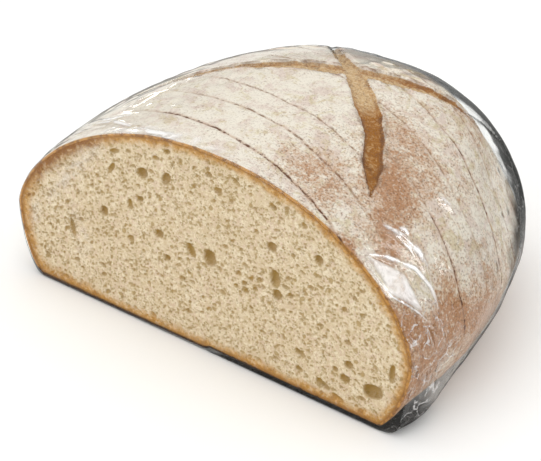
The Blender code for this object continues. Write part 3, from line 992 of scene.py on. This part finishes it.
# Pressed creases: points of the loaf that each runs through in mm, then its half width and its height
CREASES = (
    ((64.5, 4, 68), (69.4, 11, 65), (76.9, 19, 59), (83.2, 21, 52), (88.5, 20, 43), 1.1, 0.9),
    ((61.1, 19, 72), (68.4, 23, 67), (74.8, 25, 62), (80, 24, 56), 1.5, 1.0),
    ((63.4, 18, 70), (68, 21, 67), (72, 22, 64), (76, 22, 60), 0.7, 0.8),
    ((65.9, 24, 69), (67.7, 26, 68), (70, 26, 66), 1.2, 0.8),
    ((71.3, 2, 62), (77.9, 3, 56), (84.2, 10, 49), (89.6, 16, 40), 0.55, 0.9),
    ((64.5, 4, 68), (71.3, 2, 62), (78.4, 3, 56), 0.6, 0.6),
    ((65.9, 49, 70), (67.8, 51, 68), (70.3, 52, 66), (74.1, 52, 63), 1.2, 0.8),
    ((67.5, 48, 69), (69.6, 50, 67), (72.5, 50, 64), 0.6, 0.6),
    ((65.7, 89, 65), (67.4, 90, 63), (69.5, 90, 60), 0.7, 0.6),
    ((84, 16, 50), (87.6, 18, 44), (90.1, 19, 39), (91.6, 21, 30), 0.5, 0.7),
    ((85.1, 2, 46), (88.5, 4, 40), (88.6, 8, 39), 0.5, 0.6),
    ((-71.6, 16, 62), (-54.1, 13, 73), (-43.1, 16, 78), 1.2, 1.0),
    ((-66.7, 13, 65), (-49.9, 10, 75), (-36.8, 5, 80), 1.0, 1.0),
    ((-48.5, 1, 74), (-36.8, 3, 80), (-23.2, 3, 83), (-11.6, 3, 85), 1.7, 1.0),
    ((-80, 6, 52), (-66, 8, 65), (-52, 7, 73), 0.9, 0.8),
    ((-86, 3, 20), (-72, 8, 4), (-60, 12, 1), 1.0, 0.6),
)

# Soft streaks of glare on the film of the cut end, drawn like the creases
FACE_STREAKS = (
    ((-48, 1, 70), (-56, 1, 62), (-66, 1, 49), (-74, 1, 36), 2.0, 0.45),
    ((-82, 1, 22), (-80, 1, 34), 1.6, 0.5),
    ((-58, 1, 16), (-57, 1, 26), (-63, 1, 40), 2.2, 0.22),
)

# Places that the folds of the film fan out from at its gathered corner, in mm
FAN_HUBS = ((88, 3, 10), (90, 24, 17), (90, 24, 17), (88, 9, 33))


def fan_creases(number):
    """Seeded creases that run out from the gathered places at the lower right."""
    pick = np.random.default_rng(51)
    made = []
    for n in range(number):
        hub = np.array(FAN_HUBS[n % 4], float)
        way = pick.uniform(-0.5, 1.7) * math.pi / 2
        far = pick.uniform(4, 14) if n % 4 == 3 else pick.uniform(6, 24)
        begin = pick.uniform(1, 6)
        along = np.array([0, -math.cos(way), math.sin(way)])
        bow = pick.uniform(-3, 3) * np.array([0, 1, 1])
        points = [hub + along * (begin + far * t) + bow * math.sin(t * math.pi) for t in (0, 0.5, 1)]
        made.append((*points, pick.uniform(0.28, 0.5), pick.uniform(0.5, 1.0)))
    return made


def crease_field(points, creases):
    """Height of the creases at each point, as a share of the full height."""
    flat = points.reshape(-1, 3)
    total = np.zeros(len(flat))
    for *stops, width, height in creases:
        stops = np.array(stops) * MM
        low, high = stops.min(0) - 5 * MM, stops.max(0) + 5 * MM
        near_by = np.flatnonzero(np.all((flat > low) & (flat < high), axis=1))
        local = flat[near_by]
        near = np.full(len(local), 1.0)
        share = np.zeros(len(local))
        parts = len(stops) - 1
        for k in range(parts):
            run = stops[k + 1] - stops[k]
            off = local - stops[k]
            t = np.clip((off @ run) / (run @ run), 0, 1)
            gap = np.linalg.norm(off - t[:, None] * run, axis=1)
            share = np.where(gap < near, (k + t) / parts, share)
            near = np.minimum(near, gap)
        fade = np.sin(np.pi * np.clip(share, 0.03, 0.97)) ** 0.5
        ridge = height * fade * np.exp(-((near / (width * MM)) ** 1.5))
        total[near_by] = np.maximum(total[near_by], ridge)
    return total.reshape(points.shape[:-1])


# A flat place that the film stretches over beside the cut end, in mm
FLAT_MIDDLE = (76.3, 8.2, 58.2)
FLAT_FACING = (0.702, -0.120, 0.702)
FLAT_LONG_WAY = (0.66, 0.26, -0.70)
FLAT_HALF_LENGTH = 14.5
FLAT_HALF_WIDTH = 5.6


def flat_place(points):
    """Share of the flat place at each point, and the way to its plane in metres."""
    facing = np.array(FLAT_FACING)
    long_way = np.array(FLAT_LONG_WAY)
    long_way = long_way - facing * (facing @ long_way)
    long_way /= np.linalg.norm(long_way)
    off = points / MM - np.array(FLAT_MIDDLE)
    away = np.abs(off @ long_way) / FLAT_HALF_LENGTH
    away = away + np.abs(off @ np.cross(facing, long_way)) / FLAT_HALF_WIDTH
    share = 1 - step(0.82, 1.06, away)
    lift = (0.4 - off @ facing) * MM
    return share * (np.abs(lift) < 4 * MM), lift


def film_surface():
    """The film's even surface just inside the solid, with each point's heading and latitude in degrees."""
    ball = ball_grid(rings=170, dome_columns=381, skirt_columns=24, base_columns=44, crowding=1.3)
    points = loaf_points(ball, FILM_TUCKS, even_gap(FILM_GAP))
    heading = np.degrees(np.arctan2(ball[..., 1], ball[..., 0]))
    latitude = np.degrees(np.arcsin(np.clip(ball[..., 2], -1, 1)))
    z = points[..., 2] / MM
    gathered = 4.2 * MM * hump(heading, 8, 12)
    points[..., 0] += gathered * hump(z, 3, 10) * (latitude < 0) * step(0, 1, z)
    return points, heading, latitude


def film_rise(look, points, creases, flat, lift):
    """How far the film rises from its even surface in metres, always clear of the bread."""
    slack = 0.16 * MM * lumps(points, 24 * MM, 31) + 0.04 * MM * lumps(points, 8 * MM, 32)
    rise = look.crease * creases + slack - 0.25 * MM
    rise = rise * (1 - flat) + (lift + 0.3 * look.crease * creases) * flat
    sunk = look.score_bridge * score_marks(points)[0]
    bread = crust_relief(points) - look.clearance - sunk
    rise = np.maximum(rise - sunk, bread + LEAST_CLEARANCE)
    return rise * step(0.3, 4, points[..., 2] / MM)


def film_cap(first):
    """Rings of film over the cut end, from its middle out, with the last three rounding its rim."""
    inward = way_inward(first, FILM_MIDDLE)
    rim = []
    for far, back in FILM_RIM:
        ring = first + inward * far * MM
        ring[:, 1] = back * MM
        rim.append(ring)
    share = np.linspace(0, 1, 24, endpoint=False)[1:][::-1] ** 1.7
    cap = rim[0] + (np.array([0, 0, FILM_MIDDLE]) - rim[0]) * share[:, None, None]
    cap[..., 1] = FILM_GAP + 0.10 * MM * (1 + np.clip(lumps(cap, 40 * MM, 41), -1, 1))
    return np.concatenate([cap, np.array(rim)])


def film_fields(points, heading, latitude, creases, flat):
    """What the film's finish reads at each point round the bread."""
    x, y, z = (points[..., axis] / MM for axis in range(3))
    backward = step(56, 92, heading)
    rear = step(14, 34, heading) * (1 - step(90, 116, heading)) * (1 - 0.35 * backward)
    rear = rear * (1 - step(26 + 24 * backward, 44 + 24 * backward, latitude))
    rear = rear * (0.45 + 0.55 * step(-6, 14, latitude))
    corner = hump(heading, 7, 10) * (1 - step(2, 8, z))
    left = hump(heading, 179, 3) * (1 - step(3, 9, z))
    by_face = hump(y, 0, 9) * step(45, 70, np.abs(x))
    rumple = 0.90 * patch_share(points, (90, 12, 24), (14, 18, 32)) + 0.12 * by_face
    rumple = rumple + 0.30 * rear * (1 - step(25, 50, latitude))
    # Painted glare: white painted on the flat place, in a patch along the top of the cut end and in streaks
    # on the film of the cut end, standing in for light reflected off the film
    glare = patch_share(points, (-26, 3, 82), (30, 4.2, 10)) * (0.5 + 0.5 * lumps(points, 5 * MM, 61))
    return {
        "crease": creases,
        # Shares of painted shade: at the rear right, where the film stands clear of the bread, and at its
        # tucked lower corners
        "bunched_shade": rear,
        "tucked_shade": np.clip(1.25 * corner + 0.7 * left, 0, 0.97),
        "rumple": rumple * (1 - flat),
        "painted_glare": np.clip(flat * 0.85 + 1.1 * glare, 0, 1),
    }


def make_film(look):
    points, heading, latitude = film_surface()
    creases = crease_field(points, CREASES + tuple(fan_creases(120)))
    flat, lift = flat_place(points)
    shaped = points + grid_normals(points) * film_rise(look, points, creases, flat, lift)[..., None]
    cap = film_cap(shaped[0])
    shaped[..., 1] = np.maximum(shaped[..., 1], 1.0 * MM)
    film = close_form("clear_film", np.concatenate([cap, shaped]), hub=(0, 0.1 * MM, FILM_MIDDLE))
    streaks = crease_field(cap, FACE_STREAKS)
    for name, values in film_fields(points, heading, latitude, creases, flat).items():
        on_cap = streaks if name == "painted_glare" else np.zeros_like(streaks)
        store(film, name, np.append(np.concatenate([on_cap, values]).ravel(), [0, 0]))
    finish_piece(film, film_finish(look))


# Studio

CAMERA_TURN = math.radians(34.17)
CAMERA_RISE = math.radians(32.72)
CAMERA_ROLL = math.radians(2.73)
CAMERA_AIM = Vector((-0.00538, 0.050, 0.02567))
CAMERA_LENS = 141.39

# Lamps: place, size, watts, and whether only gloss shows them
LAMPS = {
    "overhead": ((-0.2, -0.1, 1.2), (1.0, 1.0), 3.0, False),
    "front": ((-0.3, -1.2, 0.7), (0.8, 0.6), 2.5, False),
    "side": ((1.1, 0.1, 0.6), (0.6, 0.6), 1.0, False),
    "rear_right": ((0.70, 0.47, 0.66), (0.30, 0.30), 1.6, True),
    "left": ((-0.86, 0.05, 0.45), (0.30, 0.18), 0.9, True),
    "rear_left": ((-0.87, 0.70, 0.05), (0.12, 0.06), 0.11, True),
}
LAMP_AIM = Vector((0, 0, 0.05))

# Half the floor's side, and how far it lies below the loaf
FLOOR_REACH = 6.0
FLOOR_DROP = 0.0002


def add_camera(look):
    """The camera that looks at the loaf from the front right and above."""
    turn, rise, roll = CAMERA_TURN, CAMERA_RISE, CAMERA_ROLL
    back = Vector((math.sin(turn) * math.cos(rise), -math.cos(turn) * math.cos(rise), math.sin(rise)))
    right = Vector((math.cos(turn), math.sin(turn), 0))
    up = back.cross(right)
    level = right * math.cos(roll) + up * math.sin(roll)
    upright = up * math.cos(roll) - right * math.sin(roll)
    data = bpy.data.cameras.new("camera")
    data.sensor_width = 36
    data.lens = CAMERA_LENS
    data.clip_start = 0.01
    camera = bpy.data.objects.new("camera", data)
    place = Matrix((level, upright, back)).transposed().to_4x4()
    place.translation = CAMERA_AIM + FOOT + back * look.distance
    camera.matrix_world = place
    bpy.context.scene.collection.objects.link(camera)
    bpy.context.scene.camera = camera


def add_lamp(name, place, size, watts, gloss_only):
    """A soft rectangular lamp that faces the loaf."""
    data = bpy.data.lights.new(name, "AREA")
    data.shape = "RECTANGLE"
    data.size, data.size_y = size
    data.energy = watts
    lamp = bpy.data.objects.new(name, data)
    lamp.location = place
    lamp.rotation_euler = (LAMP_AIM - Vector(place)).to_track_quat("-Z", "Y").to_euler()
    lamp.visible_camera = False
    lamp.visible_diffuse = not gloss_only
    bpy.context.scene.collection.objects.link(lamp)


def add_surroundings(look):
    """Light from all round, pale above and darker from below."""
    world = bpy.data.worlds.new("studio")
    world.use_nodes = True
    nodes, links = world.node_tree.nodes, world.node_tree.links
    nodes.clear()
    place = nodes.new("ShaderNodeTexCoord").outputs["Generated"]
    split = nodes.new("ShaderNodeSeparateXYZ")
    ramp = nodes.new("ShaderNodeValToRGB")
    light = nodes.new("ShaderNodeBackground")
    output = nodes.new("ShaderNodeOutputWorld")
    low, high = ramp.color_ramp.elements
    low.position, low.color = 0.05, (0.22, 0.22, 0.23, 1)
    high.position, high.color = 0.55, (*look.sky, 1)
    links.new(place, split.inputs[0])
    links.new(split.outputs["Z"], ramp.inputs[0])
    links.new(ramp.outputs[0], light.inputs[0])
    links.new(light.outputs[0], output.inputs[0])
    bpy.context.scene.world = world


def add_floor(look):
    """The pale floor that the loaf stands on."""
    mesh = bpy.data.meshes.new("floor")
    sides = ((-1, -1), (1, -1), (1, 1), (-1, 1))
    corners = [(x * FLOOR_REACH, y * FLOOR_REACH, -FLOOR_DROP) for x, y in sides]
    mesh.from_pydata(corners, [], [(0, 1, 2, 3)])
    mesh.materials.append(floor_finish(look))
    floor = bpy.data.objects.new("floor", mesh)
    bpy.context.scene.collection.objects.link(floor)


# Operators, panel and registration


class LOAF_OT_crust(bpy.types.Operator):
    """Add the floured crust with its slice cuts and scored cross"""

    bl_idname = "loaf.crust"
    bl_label = "Add Crust"

    def execute(self, context):
        make_crust(context.scene.loaf_crust, context.scene.loaf_film)
        return {"FINISHED"}


class LOAF_OT_crumb(bpy.types.Operator):
    """Add the porous crumb of the cut end"""

    bl_idname = "loaf.crumb"
    bl_label = "Add Crumb"

    def execute(self, context):
        make_crumb(context.scene.loaf_crumb, context.scene.loaf_film)
        return {"FINISHED"}


class LOAF_OT_film(bpy.types.Operator):
    """Add the clear film round the loaf"""

    bl_idname = "loaf.film"
    bl_label = "Add Film"

    def execute(self, context):
        make_film(context.scene.loaf_film)
        return {"FINISHED"}


class LOAF_OT_studio(bpy.types.Operator):
    """Add the pale floor, the soft light and the camera"""

    bl_idname = "loaf.studio"
    bl_label = "Add Studio"

    def execute(self, context):
        look = context.scene.loaf_studio
        add_floor(look)
        add_surroundings(look)
        for name, lamp in LAMPS.items():
            add_lamp(name, *lamp)
        add_camera(look)
        context.scene.view_settings.view_transform = "Standard"
        return {"FINISHED"}


class LOAF_PT_panel(bpy.types.Panel):
    """Sizes, colours and buttons of every piece"""

    bl_label = "Half Loaf"
    bl_space_type = "VIEW_3D"
    bl_region_type = "UI"
    bl_category = "Half Loaf"

    def draw(self, context):
        groups = (
            ("loaf_crust", "loaf.crust"), ("loaf_crumb", "loaf.crumb"),
            ("loaf_film", "loaf.film"), ("loaf_studio", "loaf.studio"),
        )
        for group, operator in groups:
            box = self.layout.box()
            look = getattr(context.scene, group)
            for name in look.__annotations__:
                box.prop(look, name)
            box.operator(operator)


GROUPS = {"loaf_crust": CrustLook, "loaf_crumb": CrumbLook, "loaf_film": FilmLook, "loaf_studio": StudioLook}
CLASSES = (*GROUPS.values(), LOAF_OT_crust, LOAF_OT_crumb, LOAF_OT_film, LOAF_OT_studio, LOAF_PT_panel)


def register():
    for made in CLASSES:
        bpy.utils.register_class(made)
    for name, group in GROUPS.items():
        setattr(bpy.types.Scene, name, bpy.props.PointerProperty(type=group))


def unregister():
    for name in GROUPS:
        delattr(bpy.types.Scene, name)
    for made in reversed(CLASSES):
        bpy.utils.unregister_class(made)


def main():
    register()
    bpy.ops.loaf.crust()
    bpy.ops.loaf.crumb()
    bpy.ops.loaf.film()
    bpy.ops.loaf.studio()


if __name__ == "__main__":
    main()
